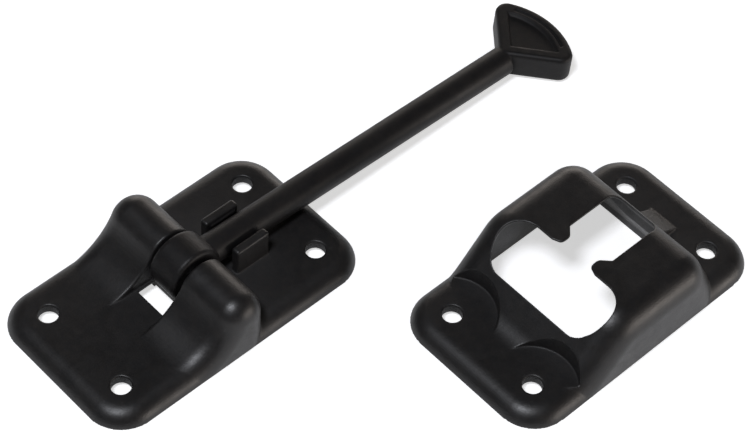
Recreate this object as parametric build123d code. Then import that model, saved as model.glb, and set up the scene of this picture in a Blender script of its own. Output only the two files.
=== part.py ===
from build123d import *
import os
from math import asin, cos, degrees, radians, sin, sqrt

# A door or gate holder worked by gravity, in millimetres.
# A hinge plate carries a swinging arm with a fan-shaped head. The head drops into a catch plate.
# Origin: centre of the hinge plate's back face. +Z leaves the mounting surface, the arm lies along +X.

# Both plates
PLATE_LENGTH = 91.9
PLATE_WIDTH = 54.2
PLATE_CORNER = 11.5
FLANGE = 4.5                 # height of the flat rim
RIM_ROUND = 6.0              # broad rounded edge of the flat rim
HOLE_SPACING_X = 69.4
HOLE_SPACING_Y = 31.0
HOLE_RADIUS = 2.85
HOLE_LIP = 0.5               # rounded lip of each screw hole
RECESS = 1.3                 # shallow recess in the back face
BORDER = 4.2                 # width of the back face round that recess
SKIN = 2.4                   # wall of the hollow mouldings
BELOW = 12.0                 # how far a raw ridge is carried below the back face before trimming

# Hinge plate
PIVOT_X = 0.5
PIVOT_Z = 11.1
HUMP_Z = 11.1                # centre height of the hump's round top
HUMP_RADIUS = 7.3
HUMP_END_ROUND = 6.4
HUMP_RAMP_RADIUS = 18.0      # concave approach on the near side
SLOT_WIDTH = 12.6
SLOT_LIP = 0.7
KNUCKLE_ROOM = 0.5           # gap round the knuckle
WINDOW_NEAR = -11.7
WINDOW_FAR = -5.2
WINDOW_WIDTH = 11.0
WINDOW_CORNER = 0.7
CHEEK = 3.4                  # wall between the slot and the hollow
CHEEK_FOOT = 3.4             # the cheeks stop this high beside the window
CLIP_NEAR = 12.7
CLIP_FAR = 24.3
CLIP_INNER = 5.2
CLIP_OUTER = 8.0
CLIP_TOP = 13.6
CLIP_ROUND = 0.8
CLIP_BEAD = 0.5              # bead inside each clip wall
CLIP_BEAD_Z = 12.0

# Swinging arm and its pin
PIN_RADIUS = 2.4
PIN_LENGTH = 17.6
PIN_PLAY = 0.08              # radial, in the arm's bore
PIN_FIT = 0.02               # radial, in the plate's saddles
PIN_SNAP = 0.3               # how much each side of a saddle's mouth narrows below the pin
PIN_CHAMFER = 0.4
KNUCKLE_RADIUS = 8.6
KNUCKLE_WIDTH = 10.2
KNUCKLE_ROUND = 1.3
ROD_RADIUS = 4.45
ARM_REACH = 142.6            # pivot to the middle of the head's front edge
FLOOR_GAP = 0.1              # daylight under the resting head
HEAD_THICKNESS = 9.2
HEAD_FRONT_RADIUS = 24.0
HEAD_HALF_WIDTH = 14.8
HEAD_SIDE_ANGLE = 49.0
HEAD_CORNER = 3.7
HEAD_ROUND = 1.4
HEAD_PANEL_INSET = 3.4       # from the two straight sides
HEAD_PANEL_FRONT = 4.3       # from the curved front
HEAD_PANEL_DEPTH = 0.9
HEAD_PANEL_SLOPE = 0.7       # sloping foot of the panel's walls
GROOVE_INSET = 2.3           # groove behind the head's front edge
GROOVE_WIDTH = 1.0
GROOVE_DEPTH = 0.6
GROOVE_HALF_SPAN = 9.8

# Catch plate
CATCH_X = 82.9
CATCH_Y = -71.9
CREST_TOP = 20.9
CREST_FAR = 23.5
CREST_RADIUS = 9.0
FAR_LEAN = 27.0              # lean of the far wall from upright, in degrees
CATCH_END_ROUND = 7.9
CATCH_SIDE_WALL = 3.7
RAMP_ANGLE = 46.0
RAMP_START = -31.9
RAMP_TOE_RADIUS = 9.0
RAMP_TOP_RADIUS = 12.0
POCKET_NEAR = -20.5
POCKET_FAR = -5.7
POCKET_HALF_WIDTH = 20.2
KEY_SLOT_HALF = 8.0
KEY_SLOT_END = 20.5
KEY_SLOT_CORNER = 3.5
NIB_GAP_HALF = 5.3
NIB_ROUND = 1.6
NIB_SWEEP = 1.1              # how far the near side of each nose leans away from the pocket
KEY_LIP = 0.8                # the skin thins to this round the keyhole
KEY_LIP_WIDTH = 2.2
SPOT_FACE_RADIUS = 12.6      # clearance cut round the two near screw holes
LEDGE_HEIGHT = 2.6           # below this the far wall is upright inside
GUSSET_HALF_WIDTH = 4.8      # gusset behind the crest
GUSSET_TOE = 34.0
GUSSET_TOP = 10.0
HOLES = [(x, y) for x in (-HOLE_SPACING_X / 2, HOLE_SPACING_X / 2)
         for y in (-HOLE_SPACING_Y / 2, HOLE_SPACING_Y / 2)]


def box_between(low, high):
    """A box given by its lowest and highest corners."""
    size = [b - a for a, b in zip(low, high)]
    return Pos(*low) * Box(*size, align=(Align.MIN, Align.MIN, Align.MIN))


def cylinder_along_y(x, z, radius, half_width):
    """A round bar across the plate, centred on y = 0."""
    return Pos(x, 0, z) * Rot(90, 0, 0) * Cylinder(radius, 2 * half_width)


def footprint(height, inset=0.0):
    """The plate's rounded outline, raised to a height."""
    outline = RectangleRounded(PLATE_LENGTH - 2 * inset, PLATE_WIDTH - 2 * inset, PLATE_CORNER - inset)
    return extrude(outline, height)


def above_back(shape):
    """Trim a shape to what stands above the mounting surface."""
    return shape & box_between((-PLATE_LENGTH, -PLATE_WIDTH, 0), (PLATE_LENGTH, PLATE_WIDTH, PLATE_WIDTH))


def flange():
    """The flat rim of a plate. Its rounded edge is cut short by the mounting surface."""
    hidden = RIM_ROUND - FLANGE
    spread = RIM_ROUND - sqrt(RIM_ROUND ** 2 - hidden ** 2)
    slab = Pos(0, 0, -BELOW) * footprint(BELOW + FLANGE, -spread)
    slab = fillet(slab.faces().sort_by(Axis.Z)[-1].edges(), RIM_ROUND)
    return above_back(slab) - footprint(RECESS, BORDER)


def across(profile, half_width):
    """Carry a side profile, drawn in x and z, across the plate."""
    return extrude(profile, half_width, dir=(0, 1, 0), both=True)


def ridge(profile, start, end):
    """A ridge from one side to the other. Start and end are (y, round where the crown meets that end)."""
    raw = Pos(0, start[0], 0) * extrude(profile, end[0] - start[0], dir=(0, 1, 0))
    for y, end_round in (start, end):
        raw = fillet(crown_edges(raw, y), end_round)
    return above_back(raw)


def crown_edges(raw, y):
    """The edges of a ridge's end face that follow its crown, without the short one at the ramp's foot."""
    edges = raw.edges().filter_by_position(Axis.Y, y - 0.01, y + 0.01)
    crown = [edge for edge in edges if edge.bounding_box().max.Z > 0]
    foot_x = raw.bounding_box().min.X
    return [edge for edge in crown if edge.bounding_box().max.X > foot_x + 0.01]


def arc_point(centre, radius, angle):
    """The point of the x-z plane on a circle, at an angle in degrees from +X."""
    return (centre[0] + radius * cos(radians(angle)), 0, centre[1] + radius * sin(radians(angle)))


def side_arc(centre, radius, start, end):
    """An arc in the x-z plane from one angle to another, in degrees."""
    return ThreePointArc(*[arc_point(centre, radius, angle) for angle in (start, (start + end) / 2, end)])


def closed_below(crown):
    """Close a run of edges in the x-z plane with straight sides and a base below the back face."""
    first, last = crown[0] @ 0, crown[-1] @ 1
    base = Polyline(last, (last.X, 0, -BELOW), (first.X, 0, -BELOW), first)
    return make_face([*crown, *base.edges()])


def hump_profile(inset=0.0):
    """The hinge plate's hump from the side: concave ramp, round top, upright far face."""
    toe_z = FLANGE + HUMP_RAMP_RADIUS
    span = HUMP_RAMP_RADIUS + HUMP_RADIUS
    rise = toe_z - HUMP_Z
    toe = (PIVOT_X - sqrt(span ** 2 - rise ** 2), toe_z)
    meet = -degrees(asin(rise / span))
    ramp = side_arc(toe, HUMP_RAMP_RADIUS + inset, -90, meet)
    crown = side_arc((PIVOT_X, HUMP_Z), HUMP_RADIUS - inset, 180 + meet, 0)
    return closed_below([ramp, crown])


def catch_profile(inset=0.0):
    """The catch plate's ridge from the side: toe, straight ramp, nearly flat top, crest, far face."""
    toe = (RAMP_START, FLANGE + RAMP_TOE_RADIUS)
    ramp_top_z = CREST_TOP - RAMP_TOP_RADIUS
    tilt = radians(RAMP_ANGLE)
    drop = toe[1] - ramp_top_z - (RAMP_TOE_RADIUS + RAMP_TOP_RADIUS) * cos(tilt)
    run = (RAMP_TOE_RADIUS + RAMP_TOP_RADIUS) * sin(tilt) - drop * cos(tilt) / sin(tilt)
    top = (RAMP_START + run, ramp_top_z)
    crest = (CREST_FAR - CREST_RADIUS, CREST_TOP - CREST_RADIUS)
    toe_arc = side_arc(toe, RAMP_TOE_RADIUS + inset, -90, RAMP_ANGLE - 90)
    shoulder = side_arc(top, RAMP_TOP_RADIUS - inset, RAMP_ANGLE + 90, 90)
    crest_arc = side_arc(crest, CREST_RADIUS - inset, 90, FAR_LEAN)
    ramp = Line(toe_arc @ 1, shoulder @ 0)
    flat = Line(shoulder @ 1, crest_arc @ 0)
    far = Line(crest_arc @ 1, (far_wall_x(-BELOW / 2, inset), 0, -BELOW / 2))
    return closed_below([toe_arc, ramp, shoulder, flat, crest_arc, far])


def far_wall_x(height, inset=0.0):
    """How far out the catch plate's leaning far wall stands at a height."""
    lean = radians(FAR_LEAN)
    drop = CREST_TOP - CREST_RADIUS - height
    return CREST_FAR - CREST_RADIUS + (CREST_RADIUS - inset + drop * sin(lean)) / cos(lean)


def screw_holes(plate, holes=HOLES):
    """Drill the four screw holes and round their lips."""
    for x, y in holes:
        plate = plate - Pos(x, y, 0) * Cylinder(HOLE_RADIUS, 4 * FLANGE)
    lips = plate.edges().filter_by(GeomType.CIRCLE).filter_by_position(Axis.Z, FLANGE - 0.01, FLANGE + 0.01)
    lips = [edge for edge in lips if abs(edge.radius - HOLE_RADIUS) < 0.01]
    return fillet(lips, HOLE_LIP)


def clip_wall():
    """One of the two walls that grip the folded arm, on the +Y side."""
    low = (CLIP_NEAR, CLIP_INNER, FLANGE / 2)
    high = (CLIP_FAR, CLIP_OUTER, CLIP_TOP)
    wall = box_between(low, high)
    wall = fillet(wall.edges().filter_by_position(Axis.Z, FLANGE, CLIP_TOP), CLIP_ROUND)
    bead_length = CLIP_FAR - CLIP_NEAR - 4 * CLIP_ROUND
    bead = Rot(0, 90, 0) * Cylinder(CLIP_BEAD, bead_length)
    return wall + Pos((CLIP_NEAR + CLIP_FAR) / 2, CLIP_INNER, CLIP_BEAD_Z) * bead


def arm_slot():
    """The space that the knuckle and the swinging rod need in the hump."""
    half = SLOT_WIDTH / 2
    knuckle = cylinder_along_y(PIVOT_X, PIVOT_Z, KNUCKLE_RADIUS + KNUCKLE_ROOM, half)
    swing = box_between((-PLATE_LENGTH / 4, -half, FLANGE), (PLATE_LENGTH / 4, half, PLATE_WIDTH))
    return knuckle + swing


def pin_seat():
    """Two blind saddles for the pin, open downwards so that it snaps in from the back."""
    half = PIN_LENGTH / 2 + PIN_PLAY
    throat = PIN_RADIUS - PIN_SNAP
    bore = cylinder_along_y(PIVOT_X, PIVOT_Z, PIN_RADIUS + PIN_FIT, half)
    mouth = box_between((PIVOT_X - throat, -half, -FLANGE), (PIVOT_X + throat, half, PIVOT_Z))
    return bore + mouth


def both_sides(half):
    """A shape and its mirror image across the plate's centreline."""
    return half + mirror(half, Plane.XZ)


def make_hinge_plate():
    """The base plate that carries the arm."""
    half_slot = SLOT_WIDTH / 2
    cheek = half_slot + CHEEK
    edge = PLATE_WIDTH / 2
    hump = ridge(hump_profile(), (half_slot, SLOT_LIP), (edge, HUMP_END_ROUND))
    hollow = ridge(hump_profile(SKIN), (cheek, SKIN / 4), (edge - SKIN, HUMP_END_ROUND - SKIN))
    window_plan = RectangleRounded(WINDOW_FAR - WINDOW_NEAR, WINDOW_WIDTH, WINDOW_CORNER)
    window = extrude(Pos((WINDOW_NEAR + WINDOW_FAR) / 2, 0) * window_plan, PIVOT_Z)
    relief = box_between((WINDOW_NEAR, -cheek - 1, -1), (WINDOW_FAR, cheek + 1, CHEEK_FOOT))
    plate = flange() + both_sides(hump)
    plate = plate - both_sides(hollow) - arm_slot() - window - relief - pin_seat()
    plate += both_sides(clip_wall())
    return screw_holes(plate)


def make_hinge_pin():
    """The plain pin across the slot, with chamfered ends."""
    pin = cylinder_along_y(PIVOT_X, PIVOT_Z, PIN_RADIUS, PIN_LENGTH / 2)
    return chamfer(pin.edges().filter_by(GeomType.CIRCLE), PIN_CHAMFER)


def head_outline():
    """The fan-shaped head in the plane of the arm: two straight sides and a curved front."""
    front_centre = ARM_REACH - HEAD_FRONT_RADIUS
    side = radians(HEAD_SIDE_ANGLE)
    corner_y = HEAD_HALF_WIDTH - HEAD_CORNER
    corner_x = front_centre + sqrt((HEAD_FRONT_RADIUS - HEAD_CORNER) ** 2 - corner_y ** 2)
    apex_x = corner_x - (HEAD_CORNER + corner_y * cos(side)) / sin(side)
    offset_y = (front_centre - apex_x) * sin(side)
    along = (front_centre - apex_x) * cos(side) + sqrt(HEAD_FRONT_RADIUS ** 2 - offset_y ** 2)
    tip = (apex_x + along * cos(side), along * sin(side))
    left = Line((apex_x, 0), tip)
    front = ThreePointArc(tip, (ARM_REACH, 0), (tip[0], -tip[1]))
    right = Line((tip[0], -tip[1]), (apex_x, 0))
    fan = make_face([left, front, right])
    tips = [vertex for vertex in fan.vertices() if abs(vertex.Y) > HEAD_CORNER]
    return fillet(tips, HEAD_CORNER)


def front_groove():
    """A shallow groove that follows the head's front edge."""
    centre = ARM_REACH - HEAD_FRONT_RADIUS
    outer = HEAD_FRONT_RADIUS - GROOVE_INSET
    ring = Circle(outer) - Circle(outer - GROOVE_WIDTH)
    strip = Pos(centre + outer, 0) * Rectangle(2 * HEAD_CORNER + outer, 2 * GROOVE_HALF_SPAN)
    return extrude((Pos(centre, 0) * ring) & strip, GROOVE_DEPTH)


def make_head():
    """The head: a fan-shaped plate with a sunken panel and a groove on both faces."""
    outline = head_outline()
    half = HEAD_THICKNESS / 2
    head = extrude(outline, half, both=True)
    rims = head.faces().filter_by(Axis.Z)
    head = fillet(rims.edges(), HEAD_ROUND)
    panel = offset(outline, -HEAD_PANEL_INSET)
    panel &= Pos(ARM_REACH - HEAD_FRONT_RADIUS, 0) * Circle(HEAD_FRONT_RADIUS - HEAD_PANEL_FRONT)
    panel = extrude(panel, HEAD_PANEL_DEPTH)
    panel = chamfer(panel.faces().sort_by(Axis.Z)[0].edges(), HEAD_PANEL_SLOPE)
    for cut, depth in ((panel, HEAD_PANEL_DEPTH), (front_groove(), GROOVE_DEPTH)):
        upper = Pos(0, 0, half - depth) * cut
        head = head - upper - mirror(upper, Plane.XY)
    return head


def make_knuckle():
    """The drum that turns on the pin."""
    drum = cylinder_along_y(0, 0, KNUCKLE_RADIUS, KNUCKLE_WIDTH / 2)
    return fillet(drum.edges().filter_by(GeomType.CIRCLE), KNUCKLE_ROUND)


def make_swing_arm():
    """The arm in one moulding: knuckle, round rod and head, resting with its head on the surface."""
    rod_length = ARM_REACH - HEAD_FRONT_RADIUS + ROD_RADIUS
    rod = Pos(rod_length / 2, 0, 0) * Rot(0, 90, 0) * Cylinder(ROD_RADIUS, rod_length)
    arm = make_knuckle() + rod + make_head()
    arm -= cylinder_along_y(0, 0, PIN_RADIUS + PIN_PLAY, KNUCKLE_WIDTH)
    tilt = degrees(asin((PIVOT_Z - HEAD_THICKNESS / 2 - FLOOR_GAP) / ARM_REACH))
    return Pos(PIVOT_X, 0, PIVOT_Z) * Rot(0, tilt, 0) * arm


def nib():
    """The nose that narrows the keyhole on the +Y side."""
    shoulder = KEY_SLOT_HALF + NIB_ROUND
    tip = POCKET_FAR + NIB_SWEEP
    nose_end = tip + 2 * NIB_ROUND
    points = [(POCKET_FAR, shoulder), (POCKET_FAR, KEY_SLOT_HALF), (tip, NIB_GAP_HALF), (nose_end, NIB_GAP_HALF),
              (nose_end + shoulder - NIB_GAP_HALF, shoulder)]
    nose = make_face(Polyline(*points, close=True))
    corners = [vertex for vertex in nose.vertices() if vertex.Y < KEY_SLOT_HALF - 0.01]
    return fillet(corners, NIB_ROUND)


def pocket_and_slot(margin=0.0):
    """Plan of the opening without its noses, grown by a margin: a wide pocket for the head, a slot for the neck."""
    pocket_length = POCKET_FAR - POCKET_NEAR + 2 * margin
    middle = (POCKET_NEAR + POCKET_FAR) / 2
    pocket = RectangleRounded(pocket_length, 2 * (POCKET_HALF_WIDTH + margin), pocket_length / 2 - 0.01)
    slot_length = KEY_SLOT_END + margin - middle
    slot = RectangleRounded(slot_length, 2 * (KEY_SLOT_HALF + margin), KEY_SLOT_CORNER + margin)
    return Pos(middle, 0) * pocket + Pos(middle + slot_length / 2, 0) * slot


def keyhole():
    """Plan of the opening that the head drops through and is then held in."""
    return pocket_and_slot() - both_sides(nib())


def near_posts(radius, low, high):
    """Upright round bars about the two near screw holes."""
    return [Pos(x, y, (low + high) / 2) * Cylinder(radius, high - low) for x, y in HOLES if x < 0]


def make_gusset():
    """The sloping gusset behind the crest."""
    root = far_wall_x(GUSSET_TOP) - SKIN / 2
    points = [(root, 0, 0), (root, 0, GUSSET_TOP), (GUSSET_TOE, 0, FLANGE), (GUSSET_TOE, 0, 0)]
    return across(make_face(Polyline(*points, close=True)), GUSSET_HALF_WIDTH)


def make_catch_plate():
    """The base plate that catches the arm's head."""
    edge = PLATE_WIDTH / 2
    plate = flange() + ridge(catch_profile(), (-edge, CATCH_END_ROUND), (edge, CATCH_END_ROUND)) + make_gusset()
    for post in near_posts(SPOT_FACE_RADIUS, FLANGE, PLATE_WIDTH):
        plate -= post
    inner_edge = edge - CATCH_SIDE_WALL
    inner_round = CATCH_END_ROUND - SKIN
    hollow = ridge(catch_profile(SKIN), (-inner_edge, inner_round), (inner_edge, inner_round))
    thinned = ridge(catch_profile(KEY_LIP), (-inner_edge, inner_round), (inner_edge, inner_round))
    hollow += thinned & extrude(pocket_and_slot(KEY_LIP_WIDTH), PLATE_WIDTH)
    for post in near_posts(SPOT_FACE_RADIUS + SKIN, RECESS, PLATE_WIDTH):
        hollow -= post
    foot = far_wall_x(LEDGE_HEIGHT, SKIN)
    hollow -= box_between((foot, -PLATE_WIDTH, -1), (PLATE_LENGTH, PLATE_WIDTH, LEDGE_HEIGHT))
    plate = plate - hollow - extrude(keyhole(), PLATE_WIDTH)
    plate = screw_holes(plate)
    return Pos(CATCH_X, CATCH_Y, 0) * plate


def main():
    os.makedirs("parts", exist_ok=True)
    pieces = {
        "hinge_plate": make_hinge_plate(),
        "hinge_pin": make_hinge_pin(),
        "swing_arm": make_swing_arm(),
        "catch_plate": make_catch_plate(),
    }
    for name, piece in pieces.items():
        export_step(piece, f"parts/{name}.step")


if __name__ == "__main__":
    main()
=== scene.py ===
import math

import bpy
from mathutils import Matrix, Vector

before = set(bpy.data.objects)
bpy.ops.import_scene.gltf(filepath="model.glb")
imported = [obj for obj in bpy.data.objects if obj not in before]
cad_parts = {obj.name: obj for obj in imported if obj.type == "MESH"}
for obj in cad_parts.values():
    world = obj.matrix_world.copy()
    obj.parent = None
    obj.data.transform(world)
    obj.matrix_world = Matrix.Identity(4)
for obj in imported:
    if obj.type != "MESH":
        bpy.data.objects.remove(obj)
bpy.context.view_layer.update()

MM = 0.001

# The photograph's viewpoint: angles in degrees, place in metres, lens and sensor in millimetres
VIEW_AZIMUTH = 43.71
VIEW_ELEVATION = 51.59
VIEW_ROLL = 4.33
VIEW_POINT = (-0.253505, -0.312926, 0.542657)
LENS = 117.26
SENSOR = 36.0

# Softened edges of the mouldings
VOXEL = 0.20 * MM
SOFT_PASSES = 5
SOFT_FACTOR = 0.5
KEPT_FACES = 0.3

# Patterns in the plastic, from the broadest to the finest, as noise cells per metre
FLOW_SCALE = 45.0
SMUDGE_SCALE = 120.0
MOTTLE_SCALE = 420.0
PIT_SCALE = 900.0
GRAIN_SCALE = 2600.0

# Depth of the patterns that show in relief
FLOW_DEPTH = 0.12 * MM
PIT_DEPTH = 0.045 * MM
GRAIN_DEPTH = 0.040 * MM
STEEL_DEPTH = 0.006 * MM

# Linear colours. A pair is the dark and the light of one pattern
COOL_BLACK = ((0.0046, 0.0044, 0.0050), (0.0068, 0.0064, 0.0069))
WARM_BLACK = ((0.0078, 0.0067, 0.0065), (0.0106, 0.0091, 0.0088))
WORN_BLACK = (0.018, 0.017, 0.0165)
STEEL = ((0.26, 0.26, 0.27), (0.36, 0.35, 0.34))
PAPER = (0.86, 0.90)

# How far the plastic looks for its own walls, and the roughness that full shelter adds
SHELTER_REACH = 25 * MM
SHELTER_DULL = 0.26

# Studio
FLOOR_HALF = 3.0
FLOOR_DROP = 0.05 * MM
FLOOR_GLOW = 0.30
FLOOR_GLOW_TO_CAMERA = 0.60
LIGHT_TARGET = (0.055, -0.03, 0.0)
COOL_LIGHT = (0.92, 0.94, 1.0)
WARM_LIGHT = (1.0, 0.91, 0.84)
ROOM_COLOUR = (1.0, 0.98, 0.96, 1)
ROOM_STRENGTH = 0.07


def direction(azimuth, elevation):
    """Unit vector towards an azimuth from +X and an elevation, in degrees."""
    a, e = math.radians(azimuth), math.radians(elevation)
    return Vector((math.cos(e) * math.cos(a), math.cos(e) * math.sin(a), math.sin(e)))


# ---------------------------------------------------------------- materials

class Nodes:
    """A material's node tree with short calls to add and join nodes."""

    def __init__(self, name):
        self.material = bpy.data.materials.new(name)
        self.material.use_nodes = True
        self.tree = self.material.node_tree
        self.shader = self.tree.nodes["Principled BSDF"]

    def add(self, kind, **settings):
        node = self.tree.nodes.new("ShaderNode" + kind)
        for key, value in settings.items():
            setattr(node, key, value)
        return node

    def join(self, source, target):
        self.tree.links.new(source, target)

    def object_point(self):
        return self.add("TexCoord").outputs["Object"]

    def noise(self, point, scale, detail=2.0, roughness=0.5, distortion=0.0):
        node = self.add("TexNoise")
        node.inputs["Scale"].default_value = scale
        node.inputs["Detail"].default_value = detail
        node.inputs["Roughness"].default_value = roughness
        node.inputs["Distortion"].default_value = distortion
        self.join(point, node.inputs["Vector"])
        return node.outputs["Fac"]

    def ramp(self, value, pair, start=0.30, end=0.70):
        """Blend a pair of greys or colours, the first up to start and the second from end."""
        node = self.add("ValToRGB")
        for element, position, colour in zip(node.color_ramp.elements, (start, end), pair):
            element.position = position
            element.color = (colour, colour, colour, 1) if isinstance(colour, float) else (*colour, 1)
        self.join(value, node.inputs["Fac"])
        return node.outputs["Color"]

    def spread(self, value, low, high, start=0.0, end=1.0):
        """Map a value from start..end to low..high."""
        node = self.add("MapRange")
        for name, number in (("From Min", start), ("From Max", end), ("To Min", low), ("To Max", high)):
            node.inputs[name].default_value = number
        self.join(value, node.inputs["Value"])
        return node.outputs["Result"]

    def math(self, operation, a, b):
        node = self.add("Math", operation=operation)
        self.join(a, node.inputs[0])
        self.join(b, node.inputs[1])
        return node.outputs["Value"]

    def mix(self, factor, a, b):
        node = self.add("Mix", data_type="RGBA")
        self.join(factor, node.inputs[0])
        for socket, value in ((node.inputs[6], a), (node.inputs[7], b)):
            if isinstance(value, tuple):
                socket.default_value = (*value, 1)
            else:
                self.join(value, socket)
        return node.outputs[2]

    def bump(self, height, distance, strength, under=None):
        node = self.add("Bump")
        node.inputs["Distance"].default_value = distance
        node.inputs["Strength"].default_value = strength
        self.join(height, node.inputs["Height"])
        if under is not None:
            self.join(under, node.inputs["Normal"])
        return node.outputs["Normal"]


def black_plastic(name, roughness, shine):
    """Black moulded plastic: fine grain, pits, faint flow marks, mottled colour, smudges and paler edges.

    It is duller where its own walls shelter it.
    """
    n = Nodes(name)
    point = n.object_point()
    flow = n.noise(point, FLOW_SCALE, detail=3.0, distortion=0.6)
    mottle = n.noise(point, MOTTLE_SCALE, detail=4.0, roughness=0.65)
    grain = n.noise(point, GRAIN_SCALE, detail=3.0, roughness=0.6)
    pits = n.noise(point, PIT_SCALE)
    smudge = n.noise(point, SMUDGE_SCALE, detail=4.0, roughness=0.6, distortion=1.2)

    cool = n.ramp(flow, COOL_BLACK)
    warm = n.ramp(flow, WARM_BLACK)
    tint = n.mix(n.spread(mottle, 0.0, 1.0, start=0.38, end=0.62), cool, warm)
    edge = n.add("NewGeometry").outputs["Pointiness"]
    rubbed = n.spread(edge, 0.0, 1.0, start=0.52, end=0.60)
    patches = n.spread(smudge, 0.2, 1.0, start=0.35, end=0.65)
    worn = n.math("MULTIPLY", rubbed, patches)
    n.join(n.mix(worn, tint, WORN_BLACK), n.shader.inputs["Base Color"])

    gloss = n.spread(smudge, roughness - 0.05, roughness + 0.05, start=0.30, end=0.70)
    gloss = n.math("ADD", gloss, n.spread(grain, -0.04, 0.04, start=0.3, end=0.7))
    shelter = n.add("AmbientOcclusion", samples=6, only_local=True)
    shelter.inputs["Distance"].default_value = SHELTER_REACH
    dull = n.spread(shelter.outputs["AO"], SHELTER_DULL, 0.0, start=0.62, end=0.92)
    n.join(n.math("ADD", gloss, dull), n.shader.inputs["Roughness"])

    soft = n.bump(flow, FLOW_DEPTH, 0.35)
    pitted = n.bump(pits, PIT_DEPTH, 0.50, soft)
    n.join(n.bump(grain, GRAIN_DEPTH, 0.70, pitted), n.shader.inputs["Normal"])
    n.shader.inputs["Specular IOR Level"].default_value = shine
    n.shader.inputs["IOR"].default_value = 1.5
    return n.material


def drawn_steel():
    """Plain drawn steel with fine marks round the pin."""
    n = Nodes("pin_steel")
    point = n.object_point()
    stretch = n.add("Mapping")
    stretch.inputs["Scale"].default_value = (1.0, 14.0, 1.0)
    n.join(point, stretch.inputs["Vector"])
    lines = n.noise(stretch.outputs["Vector"], 700.0, detail=4.0, roughness=0.7)
    stain = n.noise(point, 160.0, detail=3.0)
    n.join(n.ramp(stain, STEEL), n.shader.inputs["Base Color"])
    n.join(n.spread(lines, 0.38, 0.55, start=0.3, end=0.7), n.shader.inputs["Roughness"])
    n.join(n.bump(lines, STEEL_DEPTH, 0.5), n.shader.inputs["Normal"])
    n.shader.inputs["Metallic"].default_value = 1.0
    return n.material


def floor_material():
    """Matt pale studio paper. It glows a little, and more so to the camera alone, for an even white."""
    n = Nodes("studio_paper")
    fibre = n.noise(n.object_point(), 260.0, detail=4.0)
    n.join(n.ramp(fibre, PAPER), n.shader.inputs["Base Color"])
    n.shader.inputs["Roughness"].default_value = 0.9
    seen = n.add("LightPath").outputs["Is Camera Ray"]
    n.shader.inputs["Emission Color"].default_value = (1, 1, 1, 1)
    n.join(n.spread(seen, FLOOR_GLOW, FLOOR_GLOW_TO_CAMERA), n.shader.inputs["Emission Strength"])
    return n.material


# ---------------------------------------------------------------- the object

def set_material(obj, material):
    for slot in obj.material_slots:
        slot.material = material
    if not obj.material_slots:
        obj.data.materials.append(material)


def soften(obj, voxel):
    """Round a moulding's edges and corners a little, by modifiers that leave its CAD mesh as it is."""
    remesh = obj.modifiers.new("moulded_skin", "REMESH")
    remesh.mode = "VOXEL"
    remesh.voxel_size = voxel
    remesh.use_smooth_shade = True
    smooth = obj.modifiers.new("moulded_edges", "SMOOTH")
    smooth.factor = SOFT_FACTOR
    smooth.iterations = SOFT_PASSES
    thin = obj.modifiers.new("fewer_faces", "DECIMATE")
    thin.ratio = KEPT_FACES


def dress_object():
    plate_plastic = black_plastic("plate_plastic", roughness=0.42, shine=0.60)
    arm_plastic = black_plastic("arm_plastic", roughness=0.50, shine=0.32)
    plastics = {"hinge_plate": plate_plastic, "catch_plate": plate_plastic, "swing_arm": arm_plastic}
    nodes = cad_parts
    voxel = VOXEL
    for name, plastic in plastics.items():
        set_material(nodes[name], plastic)
        soften(nodes[name], voxel)
    pin = nodes["hinge_pin"]
    set_material(pin, drawn_steel())
    pin.data.polygons.foreach_set("use_smooth", [True] * len(pin.data.polygons))


# ---------------------------------------------------------------- studio

def make_floor():
    mesh = bpy.data.meshes.new("floor")
    h = FLOOR_HALF
    z = -FLOOR_DROP
    mesh.from_pydata([(-h, -h, z), (h, -h, z), (h, h, z), (-h, h, z)], [], [(0, 1, 2, 3)])
    floor = bpy.data.objects.new("floor", mesh)
    bpy.context.scene.collection.objects.link(floor)
    mesh.materials.append(floor_material())


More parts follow.
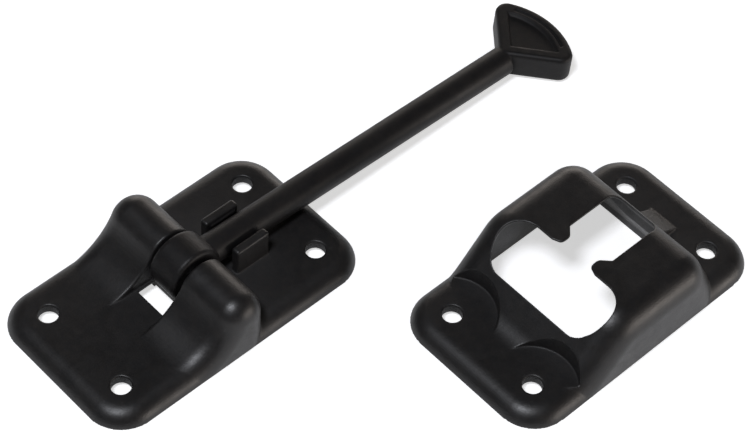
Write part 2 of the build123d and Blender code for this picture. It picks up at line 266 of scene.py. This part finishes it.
def area_light(name, azimuth, elevation, distance, size, power, colour):
    """A soft box that faces the object. Angles in degrees, lengths in metres, power in watts."""
    light = bpy.data.lights.new(name, "AREA")
    light.shape = "RECTANGLE"
    light.size, light.size_y = size
    light.energy = power
    light.color = colour
    obj = bpy.data.objects.new(name, light)
    towards = direction(azimuth, elevation)
    obj.location = Vector(LIGHT_TARGET) + towards * distance
    obj.rotation_mode = "QUATERNION"
    obj.rotation_quaternion = towards.to_track_quat("Z", "Y")
    bpy.context.scene.collection.objects.link(obj)


def light_studio():
    """A small cool box high on the left, two long low warm panels, and a faint even light all round."""
    area_light("top_left_box", azimuth=-168, elevation=66, distance=1.2,
               size=(0.24, 0.24), power=7.6, colour=COOL_LIGHT)
    area_light("back_wall", azimuth=42, elevation=10, distance=1.8,
               size=(1.6, 0.5), power=7.5, colour=WARM_LIGHT)
    area_light("right_wall", azimuth=-62, elevation=6, distance=1.6,
               size=(1.2, 0.4), power=9.0, colour=WARM_LIGHT)
    world = bpy.data.worlds.new("studio")
    bpy.context.scene.world = world
    world.use_nodes = True
    background = world.node_tree.nodes["Background"]
    background.inputs["Color"].default_value = ROOM_COLOUR
    background.inputs["Strength"].default_value = ROOM_STRENGTH


def make_camera():
    """The camera at the photograph's viewpoint, rolled about its own axis."""
    forward = direction(VIEW_AZIMUTH, -VIEW_ELEVATION)
    level = forward.cross(Vector((0, 0, 1))).normalized()
    upright = level.cross(forward)
    roll = math.radians(VIEW_ROLL)
    right = level * math.cos(roll) + upright * math.sin(roll)
    up = upright * math.cos(roll) - level * math.sin(roll)
    camera = bpy.data.cameras.new("camera")
    camera.lens = LENS
    camera.sensor_width = SENSOR
    camera.clip_start = 0.01
    camera.clip_end = 20.0
    obj = bpy.data.objects.new("camera", camera)
    turn = Matrix((right, up, -forward)).transposed()
    obj.matrix_world = Matrix.Translation(VIEW_POINT) @ turn.to_4x4()
    bpy.context.scene.collection.objects.link(obj)
    bpy.context.scene.camera = obj


dress_object()
make_floor()
light_studio()
make_camera()
bpy.context.scene.view_settings.view_transform = "Standard"
